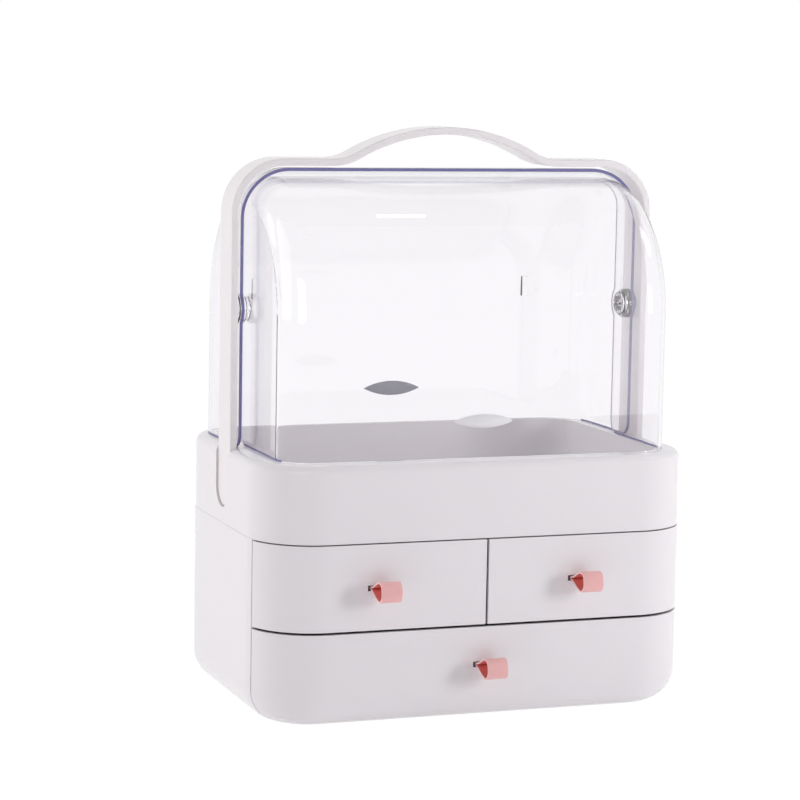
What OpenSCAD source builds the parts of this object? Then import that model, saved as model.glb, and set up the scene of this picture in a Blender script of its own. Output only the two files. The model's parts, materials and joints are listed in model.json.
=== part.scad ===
// Tabletop make-up organizer: a drawer cabinet with a tray on top, a fixed rear cover shell,
// a front cover shell that turns up and back inside it, and a carrying handle over both.
// Millimetres, +Z up, front towards -Y. The origin is on the table, under the cabinet's centre.

/* [Cabinet] */
// Width of the cabinet
base_w = 290; // [250:1:330]
// Depth of the cabinet, without the pulls
base_d = 192; // [180:1:230]
// Radius of the four upright corners
corner_r = 41; // [36:0.5:44]
// Radius of the rounded bottom edge
bottom_r = 21; // [14:0.5:24]
// Height of the lower drawer's band
lower_h = 60.5; // [52:0.5:75]
// Height of the upper drawers' band
upper_h = 55.2; // [48:0.5:70]
// Wall of the cabinet and of the tray
wall = 2.4; // [1.8:0.1:3]
// Distance from the front face back to the seam where the drawer fronts end
front_wrap = 31.5; // [26:0.5:38]
// Dark gap between neighbouring fronts
front_gap = 1.6; // [1:0.1:2.4]
// Thickness of the shelf between the lower and upper drawers
shelf_t = 2.2; // [1.6:0.1:3]
// Thickness of the upright partition between the upper drawers
partition_t = 2.4; // [1.6:0.1:3]
// Gap between the shelf's edge and the walls around it
shelf_gap = 0.3; // [0.1:0.05:0.6]
// Distance from the side seam back to the shelf's front edge
shelf_back = 2.5; // [1.5:0.5:8]
// Width and thickness of the rails that carry the shelf
rail_w = 4; // [2.5:0.5:5]
rail_t = 2.4; // [1.6:0.1:2.8]

/* [Drawers] */
// Wall of a drawer front
front_t = 2.6; // [2:0.1:3.2]
// Wall and floor of a drawer box
box_t = 2; // [1.4:0.1:2.6]
// Gap between a drawer box and the walls beside, behind and below it
box_gap = 1.8; // [1.2:0.1:2.6]
// Gap between a drawer box's floor and its runners
running_gap = 0.3; // [0.2:0.05:0.6]
// Distance from a box's top edge up to the top of its band
box_drop = 5; // [4.6:0.1:8]
// Corner radius of an upper box beside the partition
inner_corner_r = 5; // [3:0.5:10]
// Width of a runner rib
runner_w = 4; // [2:0.5:8]
// Distance of the lower runners from the middle
lower_runner_x = 70; // [40:1:90]
// Distances of the upper runners from the middle
upper_runner_near = 26; // [15:1:40]
upper_runner_far = 100; // [70:1:103]
// Distance from the shelf's front edge back to the stop ribs, which end the travel
stop_back = 9.5; // [4:0.5:40]
// Thickness of a stop rib along the travel
stop_t = 2; // [1.5:0.1:3]
// Overlap of a stop rib with a box's rear wall
stop_bite = 1.5; // [1:0.1:2.5]
// Radius of the pegs that join a front to its box
peg_r = 2; // [1.5:0.1:3]
// Distance of each peg from the pull
peg_x = 38; // [25:1:45]
// Length of a peg's end inside the box
peg_end = 1; // [0.5:0.1:2]

/* [Pulls] */
// Width of a strap
strap_w = 13.5; // [10:0.5:20]
// Thickness of a strap
strap_t = 1.2; // [0.8:0.1:1.6]
// Outer radius of the strap's loop
loop_r = 6.1; // [5:0.1:8]
// Distance from the front face to the centre of the loop
loop_reach = 14.4; // [12:0.1:20]
// Distance of the left upper pull from the middle
pull_left_x = 70.5; // [55:0.5:80]
// Distance of the right upper pull from the middle
pull_right_x = 63; // [55:0.5:80]
// Height of the upper slots above the upper band's foot
upper_pull_h = 27.3; // [20:0.1:35]
// Height of the lower slot above the cabinet's foot
lower_pull_h = 36; // [28:0.5:44]
// Clearance over and under a strap's two layers in their slot
slot_gap = 0.5; // [0.2:0.05:0.8]
// Clearance beside a strap in its slot, each side
slot_side_gap = 1.6; // [0.4:0.1:2]
// Width of the clip behind a strap
clip_w = 22; // [18:0.5:30]
// Height of the clip
clip_h = 9; // [7:0.5:12]
// Thickness of the clip
clip_t = 1.8; // [1.2:0.1:2.6]

/* [Tray] */
// Height of the tray from its seam to its rim
tray_h = 48.4; // [42:0.1:60]
// Step from the cabinet's side in to the tray's side
tray_step = 0.4; // [0:0.1:1]
// Radius of the rim's outer edge
rim_r = 5; // [2:0.5:6]
// Thickness of the ledge that the covers stand on
ledge_t = 2.4; // [1.8:0.1:3]
// Distance of the basin's opening inside the cover walls
basin_inset = 0.8; // [0.4:0.1:2]
// Wall of the basin
basin_t = 2; // [1.4:0.1:2.6]
// Radius of the basin's bottom edge
basin_r = 8; // [4:0.5:14]
// Height of the underside of the basin's floor above the seam
basin_lift = 1.3; // [0.5:0.1:4]

/* [Covers] */
// Distance from the cabinet's side in to the rear shell
cover_side = 8.8; // [8:0.1:20]
// Distance from the cabinet's back in to the rear shell
cover_back = 6.6; // [5:0.1:10]
// Wall of both shells
cover_t = 2; // [1.5:0.1:2.4]
// Outer corner radius of the rear shell
cover_corner_r = 32; // [26:0.5:40]
// Outer corner radius of the front shell
front_corner_r = 19; // [12:0.5:26]
// Gap between the shells at the sides
shell_gap_x = 4.2; // [2.6:0.1:5]
// Gap between the shells all round the pivots
shell_gap_r = 4; // [3.6:0.1:6]
// Height of the pivots above the rim
pivot_h = 87.8; // [86:0.1:110]
// Distance of the rear shell's front edge before the pivots
rear_edge = 7.4; // [5:0.1:10]
// Distance of the front shell's rear edge behind the pivots
front_edge = 8; // [5:0.1:10]
// Rounding of the shells' lower free corners
edge_r = 9; // [7:0.5:14]
// Gap between the front shell and the rim
seat_gap = 0.3; // [0.2:0.05:0.6]
// Radius of the rear shell's ear round a pivot
rear_ear_r = 11.5; // [10.5:0.1:14]
// Radius of the front shell's ear round a pivot
front_ear_r = 12; // [10.5:0.1:14]
// Thickness of the boss inside the rear shell's ear
boss_t = 2.2; // [0.4:0.1:2.4]
// Width, length and depth of the tabs that hold the rear shell in the ledge
tab_w = 10; // [6:0.5:10]
tab_h = 7; // [5:0.5:10]
// Places of the tabs behind the pivots
tab_near = 27; // [25:0.5:30]
tab_far = 47; // [44:0.5:50]
// Clearance of a tab in its slot, each side
tab_gap = 0.15; // [0.1:0.05:0.4]
// Height, width and proudness of the rests that hold the opened front shell
rest_h = 13.5; // [8:0.5:18]
rest_w = 5; // [3:0.5:8]
rest_proud = 3.2; // [2:0.1:3.4]
// Distance of the rests from the middle
rest_x = 96; // [60:1:98]
// Height of the rests' centre above the pivots
rest_z = 4.6; // [0:0.1:12]

/* [Pivot pins] */
// Radius of a pin's shaft
pin_r = 7; // [5:0.1:8]
// Radial clearance of the shaft in both shells
pin_gap = 0.05; // [0.02:0.01:0.1]
// Radius of the flange outside the rear shell
flange_r = 9.5; // [8.6:0.1:11]
// Thickness of the flange
flange_t = 1.5; // [1:0.1:2]
// Radius of the lip inside the front shell
lip_r = 8; // [7.6:0.1:8.4]
// Thickness of the lip
lip_t = 1.3; // [1:0.1:2]
// Gap between the lip and the front shell
lip_gap = 0.2; // [0.1:0.05:0.4]
// Bore of the pin
pin_bore_r = 4; // [2.5:0.1:4.5]
// Width of the slit across the pin
slit_w = 1.6; // [1:0.1:2.4]

/* [Grip and oval plate] */
// Length of the oval grip on the front shell
grip_l = 43; // [35:0.5:60]
// Half height of the grip
grip_r = 4.5; // [3.5:0.1:6]
// Proudness of the grip
grip_proud = 3.6; // [2.5:0.1:4.4]
// Height of the grip's centre above the rim
grip_h = 23.3; // [15:0.1:40]
// Length of the bare oval plate in the rear shell
plate_l = 40; // [30:0.5:60]
// Height of the plate
plate_w = 9.7; // [7:0.1:14]
// Thickness of the plate
plate_t = 0.8; // [0.5:0.1:1.2]
// Height of the plate's centre above the rim
plate_h = 23.7; // [15:0.1:40]

/* [Handle] */
// Gap between a pin's flange and the handle
handle_side_gap = 1; // [0.4:0.1:1.4]
// Width of the band, front to back
band_w = 26; // [20:0.5:32]
// Thickness of the band
band_t = 4.8; // [4:0.1:5.4]
// Outer radius of the two shoulder corners
shoulder_r = 34.5; // [28:0.5:38]
// Gap between the rear shell's top and the handle's shoulders
shoulder_gap = 1.2; // [0.6:0.1:4]
// Rise of the arch above the shoulders
arch_rise = 20.2; // [14:0.1:30]
// Outer radius of the arch's crown
crown_r = 124; // [105:0.5:155]
// Outer radius of the saddle between the crown and a shoulder
saddle_r = 31; // [24:0.5:60]
// Depth of the tongue below the rim
tongue_h = 38; // [34:0.5:42]
// Clearance of the tongue in its recess
tongue_gap = 0.4; // [0.3:0.05:0.8]
// Radius of the recess's shoulders at the rim
notch_r = 2.5; // [1:0.5:4]
// Gap between a tongue's back and its recess
tongue_back_gap = 0.1; // [0.05:0.05:0.3]
// Wall behind the recess
recess_t = 2.3; // [1.6:0.1:2.6]
// Depth of that wall's housing below the tongue
housing_foot = 4; // [3:0.5:6]

/* [Screws and feet] */
// Radius of a screw's shank
screw_r = 1.5; // [1:0.1:1.8]
// Radius and thickness of a screw's head
head_r = 2.8; // [2.2:0.1:3.2]
head_t = 1.7; // [1:0.1:1.8]
// Length of a tray screw's shank
tray_screw_l = 10; // [8:0.5:14]
// Length of a handle screw's shank
handle_screw_l = 5.5; // [4:0.1:6]
// Depths of the two handle screws below the rim
handle_screw_high = 14; // [10:0.5:17]
handle_screw_low = 27; // [23:0.5:29]
// Radius of a screw boss under the tray
boss_r = 3.6; // [3:0.1:3.8]
// Gap between a boss and the side wall
boss_side_gap = 2; // [1:0.1:2.4]
// Places of the screw bosses before and behind the middle
boss_front = 49; // [45:0.5:52]
boss_rear = 64; // [60:0.5:66]
// Radius of a rubber foot
foot_r = 7; // [5:0.5:10]
// Distance of the feet from the middle, sideways
foot_x = 100; // [80:1:110]
// Distance of the feet before and behind the middle
foot_y = 50; // [40:1:54]
// Height of the feet below the cabinet
foot_proud = 1; // [0.6:0.1:2]
// Depth of the feet's recess
foot_recess = 0.8; // [0.4:0.1:1.2]

/* [Hidden] */
$fn = 96;
// Reach of a cut past the face that it opens
past = 1;
// Overlap of the handle's crown arc with the saddle arcs that it meets
arc_overlap = 0.004;

// Heights, all from the table
foot_z = foot_proud;
split_z = foot_z + lower_h;
seam_z = split_z + upper_h;
rim_z = seam_z + tray_h;
pivot_z = rim_z + pivot_h;

// Cabinet
front_y = -base_d / 2;
seam_y = front_y + front_wrap;
inner_w = base_w - 2 * wall;
inner_d = base_d - 2 * wall;
shelf_z = split_z - shelf_t / 2;
shelf_front_y = seam_y + shelf_back;
floor_z = foot_z + wall;

// Drawer boxes
box_inset = wall + box_gap;
box_x = base_w / 2 - box_inset;
box_front_y = front_y + front_t;
box_rear_y = base_d / 2 - box_inset;
box_d = box_rear_y - box_front_y;
box_y = (box_rear_y + box_front_y) / 2;
box_corner_r = corner_r - box_inset;
lower_box_z = foot_z + box_inset;
lower_box_h = split_z - box_drop - lower_box_z;
runner_h = box_gap - running_gap;
upper_box_z = shelf_z + shelf_t + runner_h + running_gap;
upper_box_h = seam_z - box_drop - upper_box_z;
box_inner_x = partition_t / 2 + box_gap;
stop_y = shelf_front_y + stop_back;
upper_slot_z = split_z + upper_pull_h;
lower_slot_z = foot_z + lower_pull_h;
strap_depth = front_t + box_t + clip_t;

// Tray
tray_w = base_w - 2 * tray_step;
tray_d = base_d - 2 * tray_step;
tray_r = corner_r - tray_step;
ledge_z = rim_z - ledge_t;
basin_z = seam_z + basin_lift + basin_t;

// Shells
rear_x = base_w / 2 - cover_side;
cover_r = base_d / 2 - cover_back;
front_x = rear_x - cover_t - shell_gap_x;
front_r = cover_r - cover_t - shell_gap_r;

// Basin opening, just inside the walls of both shells
basin_x = front_x - cover_t - basin_inset;
basin_front_y = -(front_r - cover_t - basin_inset);
basin_rear_y = cover_r - cover_t - basin_inset;
basin_d = basin_rear_y - basin_front_y;
basin_y = (basin_rear_y + basin_front_y) / 2;
basin_corner_r = (front_corner_r + cover_corner_r) / 2 - cover_t - basin_inset;

// Handle
handle_x = rear_x + flange_t + handle_side_gap + band_t;
shoulder_z = pivot_z + cover_r + shoulder_gap + band_t;
arch_span = sqrt(arch_rise * (2 * (crown_r + saddle_r) - arch_rise));
arch_sin = arch_span / (crown_r + saddle_r);
arch_cos = 1 - arch_rise / (crown_r + saddle_r);
tongue_z = rim_z - tongue_h;
recess_x = handle_x - band_t - tongue_back_gap;
housing_x = recess_x - recess_t;
housing_half = band_w / 2 + tongue_gap + recess_t;
housing_z = tongue_z - housing_foot;
housing_h = ledge_z + ledge_t / 2 - housing_z;

// ---- outlines ----

// Rectangle with four round corners, centred
module round_rect(w, d, r) {
    square([w - 2 * r, d], center = true);
    square([w, d - 2 * r], center = true);
    for (x = [-1, 1], y = [-1, 1])
        translate([x * (w / 2 - r), y * (d / 2 - r)]) circle(r);
}

// Outline of an upper box: corners far_r at x0 and near_r at x1
module side_outline(x0, x1, y0, y1, far_r, near_r) {
    translate([x0 + far_r, y0]) square([x1 - near_r - x0 - far_r, y1 - y0]);
    translate([x0, y0 + far_r]) square([far_r, y1 - y0 - 2 * far_r]);
    translate([x1 - near_r, y0 + near_r]) square([near_r, y1 - y0 - 2 * near_r]);
    for (y = [y0 + far_r, y1 - far_r])
        translate([x0 + far_r, y]) circle(far_r);
    for (y = [y0 + near_r, y1 - near_r])
        translate([x1 - near_r, y]) circle(near_r);
}

// Upright strip whose lower outer corner is rounded
module edge_profile(depth, h, r) {
    translate([0, r]) square([depth, h - r]);
    square([depth - r, h]);
    intersection() {
        translate([depth - r, r]) circle(r);
        translate([depth - r, 0]) square([r, r]);
    }
}

// Lens shape with two pointed ends, centred
module lens(l, w) {
    lens_r = (l * l / 4 + w * w / 4) / w;
    intersection() {
        translate([0, lens_r - w / 2]) circle(lens_r, $fn = 720);
        translate([0, w / 2 - lens_r]) circle(lens_r, $fn = 720);
    }
}

// ---- shared solids ----

// Block with round upright corners r and a round bottom edge rb, standing on z = 0
module tub(w, d, h, r, rb) {
    straight_x = w - 2 * r;
    straight_y = d - 2 * r;
    translate([-straight_x / 2, -straight_y / 2, 0]) cube([straight_x, straight_y, h]);
    for (x = [-1, 1])
        translate([x * straight_x / 2, 0, 0]) rotate([90, 0, x > 0 ? 0 : 180])
            linear_extrude(height = straight_y, center = true) edge_profile(r, h, rb);
    for (y = [-1, 1])
        translate([0, y * straight_y / 2, 0]) rotate([90, 0, y * 90])
            linear_extrude(height = straight_x, center = true) edge_profile(r, h, rb);
    for (k = [0:3])
        translate([(k == 0 || k == 3 ? 1 : -1) * straight_x / 2, (k < 2 ? 1 : -1) * straight_y / 2, 0])
            rotate([0, 0, 90 * k]) rotate_extrude(angle = 90) edge_profile(r, h, rb);
}

// Outline in the Y-Z plane, swept along X from x0 to x1
module across(x0, x1) {
    translate([x0, 0, 0]) rotate([90, 0, 90]) linear_extrude(height = x1 - x0) children();
}

// Cylinder along X from x0 to x1
module rod_x(x0, x1, r) {
    translate([x0, 0, 0]) rotate([0, 90, 0]) cylinder(h = x1 - x0, r = r);
}

// Solid of a cover: upright below the pivots and half round above them
module dome(half_w, r, corner, drop) {
    translate([0, 0, -drop]) linear_extrude(height = drop) round_rect(2 * half_w, 2 * r, corner);
    rotate([0, -90, 0]) rotate([0, 0, -90]) rotate_extrude(angle = 180) {
        translate([0, -half_w]) square([r - corner, 2 * half_w]);
        translate([0, corner - half_w]) square([r, 2 * (half_w - corner)]);
        intersection() {
            for (y = [-1, 1])
                translate([r - corner, y * (half_w - corner)]) circle(corner);
            translate([0, -half_w]) square([r, 2 * half_w]);
        }
    }
}

// Self-tapping screw along +Z with its head below z = 0
module screw(l) {
    translate([0, 0, -head_t]) cylinder(h = head_t, r = head_r);
    cylinder(h = l, r = screw_r);
}

// ---- cabinet ----

module cabinet_body() {
    translate([0, 0, foot_z]) tub(base_w, base_d, seam_z - foot_z, corner_r, bottom_r);
}

// Hollow of the cabinet, wall thick inside its skin
module cabinet_hollow(inset) {
    translate([0, 0, foot_z + inset])
        tub(base_w - 2 * inset, base_d - 2 * inset, seam_z, corner_r - inset, bottom_r - inset);
}

// Block before the side seam, which the drawer fronts fill
module front_zone(z0, z1, gap) {
    translate([-base_w, front_y - past, z0]) cube([2 * base_w, front_wrap + past - gap, z1 - z0]);
}

module at_tray_screws() {
    for (x = [-1, 1], y = [-boss_front, boss_rear])
        translate([x * (base_w / 2 - wall - boss_side_gap - boss_r), y, 0]) children();
}

module at_feet() {
    for (x = [-1, 1], y = [-1, 1]) translate([x * foot_x, y * foot_y, 0]) children();
}

module cabinet_shell() {
    lug_w = 2 * (boss_r + boss_side_gap);
    rail_out = wall / 2;
    color([0.93, 0.91, 0.93]) difference() {
        union() {
            difference() {
                cabinet_body();
                cabinet_hollow(wall);
                front_zone(0, seam_z + past, 0);
            }
            // rails under the shelf's sides and back, sunk into the walls
            for (x = [-1, 1])
                translate([x * (inner_w - rail_w + rail_out) / 2, 0, shelf_z - rail_t / 2])
                    cube([rail_w + rail_out, base_d - 2 * corner_r, rail_t], center = true);
            translate([0, (inner_d - rail_w + rail_out) / 2, shelf_z - rail_t / 2])
                cube([base_w - 2 * corner_r, rail_w + rail_out, rail_t], center = true);
            // runners under the lower drawer
            for (x = [-1, 1])
                translate([x * lower_runner_x - runner_w / 2, seam_y, floor_z - wall / 2])
                    cube([runner_w, base_d / 2 - bottom_r - seam_y, wall / 2 + runner_h]);
            // lugs that take the tray screws, sunk into the walls
            intersection() {
                cabinet_hollow(wall / 2);
                for (x = [-1, 1], y = [-boss_front, boss_rear])
                    translate([x * (base_w - lug_w) / 2, y, seam_z - wall / 2])
                        cube([lug_w + wall, lug_w, wall], center = true);
            }
        }
        at_tray_screws() translate([0, 0, seam_z - 2 * wall]) cylinder(h = 3 * wall, r = screw_r);
        at_feet() translate([0, 0, -past]) cylinder(h = foot_z + foot_recess + past, r = foot_r);
    }
}

module mid_shelf() {
    edge = wall + shelf_gap;
    color([0.9, 0.88, 0.9]) {
        intersection() {
            translate([0, 0, shelf_z]) linear_extrude(height = shelf_t)
                round_rect(base_w - 2 * edge, base_d - 2 * edge, corner_r - edge);
            translate([-base_w / 2, shelf_front_y, shelf_z]) cube([base_w, base_d, shelf_t]);
        }
        // runners under the upper drawers
        for (x = [-upper_runner_far, -upper_runner_near, upper_runner_near, upper_runner_far])
            translate([x - runner_w / 2, shelf_front_y, shelf_z + shelf_t])
                cube([runner_w, base_d / 2 - corner_r - shelf_front_y, runner_h]);
        // stops for the lower drawer
        for (x = [-1, 1])
            translate([x * lower_runner_x - runner_w, stop_y, split_z - box_drop - stop_bite])
                cube([2 * runner_w, stop_t, shelf_z - split_z + box_drop + stop_bite]);
    }
}

module centre_partition() {
    color([0.9, 0.88, 0.9])
        translate([-partition_t / 2, shelf_front_y, shelf_z + shelf_t])
            cube([partition_t, inner_d / 2 - shelf_front_y, seam_z + basin_lift - shelf_z - shelf_t]);
}

module rubber_feet() {
    color([0.75, 0.75, 0.77]) at_feet() cylinder(h = foot_proud + foot_recess, r = foot_r);
}

// ---- tray ----

// Plan of the tongue or of its recess, as an outline in the Y-Z plane
module tongue_outline(gap, top) {
    half = band_w / 2 + gap;
    translate([0, tongue_z + band_w / 2]) circle(half);
    translate([-half, tongue_z + band_w / 2]) square([2 * half, top - tongue_z - band_w / 2]);
}

// The recess that a tongue sits in, open at the rim between two round shoulders
module recess_outline() {
    half = band_w / 2 + tongue_gap;
    tongue_outline(tongue_gap, rim_z + past);
    difference() {
        translate([-half - notch_r, rim_z - notch_r]) square([2 * (half + notch_r), notch_r + past]);
        for (y = [-1, 1])
            translate([y * (half + notch_r), rim_z - notch_r]) circle(notch_r);
    }
}

module basin_hollow(grow, z0, h) {
    translate([0, basin_y, z0])
        tub(2 * (basin_x + grow), basin_d + 2 * grow, h, basin_corner_r + grow, basin_r + grow);
}

module at_tabs(grow) {
    for (x = [-1, 1], y = [tab_near, tab_far])
        translate([x * (rear_x - cover_t / 2), y, rim_z - tab_h / 2])
            cube([cover_t + 2 * grow, tab_w + 2 * grow, tab_h + 2 * grow], center = true);
}

module at_handle_screws() {
    for (x = [-1, 1], z = [rim_z - handle_screw_high, rim_z - handle_screw_low])
        translate([x * housing_x, 0, z]) rotate([0, x * 90, 0]) children();
}

module tray() {
    color([0.93, 0.91, 0.93]) difference() {
        union() {
            // skirt and ledge
            difference() {
                translate([0, 0, rim_z]) mirror([0, 0, 1]) tub(tray_w, tray_d, tray_h, tray_r, rim_r);
                translate([0, 0, seam_z - past]) linear_extrude(height = tray_h - ledge_t + past)
                    round_rect(tray_w - 2 * wall, tray_d - 2 * wall, tray_r - wall);
            }
            // basin
            basin_hollow(basin_t, seam_z + basin_lift, tray_h - basin_lift - ledge_t / 2);
            // housings behind the handle's tongues
            for (x = [0, 1])
                mirror([x, 0, 0]) translate([housing_x, -housing_half, housing_z])
                    cube([tray_w / 2 - wall / 2 - housing_x, 2 * housing_half, housing_h]);
            // bosses for the tray screws
            at_tray_screws() translate([0, 0, seam_z]) cylinder(h = tray_h - ledge_t / 2, r = boss_r);
            // stops for the upper drawers
            for (x = [-1, 1])
                translate([x * lower_runner_x - runner_w, stop_y, seam_z - box_drop - stop_bite])
                    cube([2 * runner_w, stop_t, box_drop + stop_bite + basin_lift + basin_t / 2]);
        }
        basin_hollow(0, basin_z, tray_h);
        for (x = [-1, 1])
            across(x > 0 ? recess_x : -base_w, x > 0 ? base_w : -recess_x)
                recess_outline();
        at_handle_screws() translate([0, 0, -past]) cylinder(h = recess_t + 2 * past, r = screw_r);
        at_tray_screws() translate([0, 0, seam_z - past]) cylinder(h = tray_screw_l + past, r = screw_r);
        at_tabs(tab_gap);
    }
}

module tray_screws() {
    color([0.7, 0.7, 0.72]) at_tray_screws() translate([0, 0, seam_z - wall]) screw(tray_screw_l);
}

// ---- drawers ----

// Slot for a strap's two layers, along Y
module strap_slot(x, z) {
    width = strap_w + 2 * slot_side_gap;
    translate([x - width / 2, front_y - past, z - strap_t - slot_gap])
        cube([width, strap_depth + 2 * past, 2 * (strap_t + slot_gap)]);
}

// Pegs on a front, which pass through its box's wall
module pegs(x, z) {
    for (side = [-1, 1])
        translate([x + side * peg_x, box_front_y + box_t + peg_end, z]) rotate([90, 0, 0])
            cylinder(h = peg_end + box_t + front_t / 2, r = peg_r);
}

module peg_holes(x, z) {
    for (side = [-1, 1])
        translate([x + side * peg_x, box_front_y + 2 * box_t, z]) rotate([90, 0, 0])
            cylinder(h = 3 * box_t, r = peg_r);
}

// Strap: a drop-shaped loop in front of the slot and a doubled tail through it
module pull_strap(x, z) {
    angle = asin(loop_r / loop_reach);
    inner_r = loop_r - strap_t;
    inner_reach = inner_r / sin(angle);
    color([0.93, 0.67, 0.67]) translate([0, front_y, z]) across(x - strap_w / 2, x + strap_w / 2) {
        difference() {
            drop_outline(loop_r, loop_reach, angle);
            translate([inner_reach - loop_reach, 0]) drop_outline(inner_r, inner_reach, angle);
            translate([-strap_t, -loop_r]) square([loop_r, 2 * loop_r]);
        }
        translate([-2 * strap_t / tan(angle), -strap_t])
            square([2 * strap_t / tan(angle) + strap_depth, 2 * strap_t]);
    }
}

// Circle before the slot with two tangents that meet in it
module drop_outline(r, reach, angle) {
    touch = [-reach + r * sin(angle), r * cos(angle)];
    translate([-reach, 0]) circle(r);
    polygon([[0, 0], touch, [-reach, 0], [touch[0], -touch[1]]]);
}

module strap_clip(x, z) {
    color([0.88, 0.87, 0.89]) difference() {
        translate([x - clip_w / 2, box_front_y + box_t, z - clip_h / 2]) cube([clip_w, clip_t, clip_h]);
        translate([x - strap_w / 2, box_front_y, z - strap_t])
            cube([strap_w, 2 * box_t + clip_t, 2 * strap_t]);
    }
}

module lower_drawer_front() {
    color([0.92, 0.9, 0.93]) difference() {
        union() {
            intersection() {
                difference() {
                    cabinet_body();
                    cabinet_hollow(front_t);
                }
                front_zone(0, split_z - front_gap / 2, front_gap / 2);
            }
            pegs(0, lower_slot_z);
        }
        strap_slot(0, lower_slot_z);
    }
}

module lower_drawer_box() {
    color([0.95, 0.94, 0.95]) difference() {
        translate([0, box_y, lower_box_z])
            tub(2 * box_x, box_d, lower_box_h, box_corner_r, bottom_r - box_inset);
        translate([0, box_y, lower_box_z + box_t])
            tub(2 * (box_x - box_t), box_d - 2 * box_t, lower_box_h, box_corner_r - box_t,
                bottom_r - box_inset - box_t);
        strap_slot(0, lower_slot_z);
        peg_holes(0, lower_slot_z);
    }
}

// An upper front, drawn on the left
module upper_drawer_front(x) {
    color([0.92, 0.9, 0.93]) difference() {
        union() {
            intersection() {
                difference() {
                    cabinet_body();
                    cabinet_hollow(front_t);
                }
                front_zone(split_z + front_gap / 2, seam_z - front_gap / 2, front_gap / 2);
                translate([-base_w, -base_d, 0]) cube([base_w - front_gap / 2, base_d, 2 * seam_z]);
            }
            pegs(x, upper_slot_z);
        }
        strap_slot(x, upper_slot_z);
    }
}

// An upper box, drawn on the left
module upper_drawer_box(x) {
    color([0.95, 0.94, 0.95]) difference() {
        translate([0, 0, upper_box_z]) linear_extrude(height = upper_box_h)
            side_outline(-box_x, -box_inner_x, box_front_y, box_rear_y, box_corner_r, inner_corner_r);
        translate([0, 0, upper_box_z + box_t]) linear_extrude(height = upper_box_h)
            side_outline(-box_x + box_t, -box_inner_x - box_t, box_front_y + box_t, box_rear_y - box_t,
                box_corner_r - box_t, inner_corner_r - box_t);
        strap_slot(x, upper_slot_z);
        peg_holes(x, upper_slot_z);
    }
}

// ---- covers ----

// A shell without its openings, with the pivots on the X axis
module shell(half_w, r, corner) {
    difference() {
        dome(half_w, r, corner, pivot_h);
        dome(half_w - cover_t, r - cover_t, corner - cover_t, pivot_h + past);
    }
}

module rear_cover() {
    inner_x = rear_x - cover_t;
    color([0.86, 0.88, 0.94, 0.3]) difference() {
        union() {
            translate([0, 0, pivot_z]) {
                intersection() {
                    shell(rear_x, cover_r, cover_corner_r);
                    across(-base_w, base_w) {
                        translate([-rear_edge, edge_r - pivot_h]) square([base_d, base_d + pivot_h]);
                        translate([edge_r - rear_edge, -pivot_h]) square([base_d, base_d]);
                        translate([edge_r - rear_edge, edge_r - pivot_h]) circle(edge_r);
                        circle(rear_ear_r);
                    }
                }
                for (x = [-1, 1])
                    rod_x(x > 0 ? inner_x - boss_t : -inner_x - cover_t / 2,
                        x > 0 ? inner_x + cover_t / 2 : -inner_x + boss_t, flange_r);
                for (x = [-1, 1])
                    translate([x * rest_x - rest_w / 2, cover_r - cover_t - rest_proud, rest_z - rest_h / 2])
                        cube([rest_w, rest_proud + cover_t / 2, rest_h]);
            }
            at_tabs(0);
        }
        translate([0, 0, pivot_z]) rod_x(-base_w, base_w, pin_r + pin_gap);
    }
}

module oval_plate() {
    color([0.72, 0.72, 0.76]) translate([0, cover_r - cover_t, rim_z + plate_h]) rotate([90, 0, 0])
        linear_extrude(height = plate_t) lens(plate_l, plate_w);
}

module front_cover() {
    color([0.86, 0.88, 0.94, 0.3]) translate([0, 0, pivot_z]) difference() {
        intersection() {
            shell(front_x, front_r, front_corner_r);
            across(-base_w, base_w) {
                translate([front_edge - base_d, edge_r - pivot_h]) square([base_d, base_d + pivot_h]);
                translate([front_edge - edge_r - base_d, seat_gap - pivot_h]) square([base_d, base_d]);
                translate([front_edge - edge_r, edge_r - pivot_h]) circle(edge_r - seat_gap);
                circle(front_ear_r);
            }
        }
        rod_x(-base_w, base_w, pin_r + pin_gap);
    }
}

module cover_grip() {
    color([0.93, 0.93, 0.95]) intersection() {
        translate([0, grip_r - grip_proud - front_r, rim_z + grip_h])
            rotate([0, 90, 0]) rotate_extrude() intersection() {
                rotate([0, 0, 90]) lens(grip_l, 2 * grip_r);
                translate([0, -grip_l]) square([grip_l, 2 * grip_l]);
            }
        translate([-base_w / 2, -front_r - base_d, rim_z]) cube([base_w, base_d, pivot_h]);
    }
}

// Right-hand pin: flange, shaft and slit lip
module pivot_pin() {
    inner_x = front_x - cover_t - lip_gap;
    color([0.85, 0.87, 0.92, 0.5]) translate([0, 0, pivot_z]) difference() {
        union() {
            rod_x(rear_x, rear_x + flange_t, flange_r);
            rod_x(inner_x - lip_t, rear_x, pin_r);
            rod_x(inner_x - lip_t, inner_x, lip_r);
        }
        rod_x(inner_x - lip_t - past, rear_x, pin_bore_r);
        translate([inner_x - lip_t - past, -2 * lip_r, -slit_w / 2])
            cube([front_x - inner_x + lip_t + past, 4 * lip_r, slit_w]);
    }
}

// ---- handle ----

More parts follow.
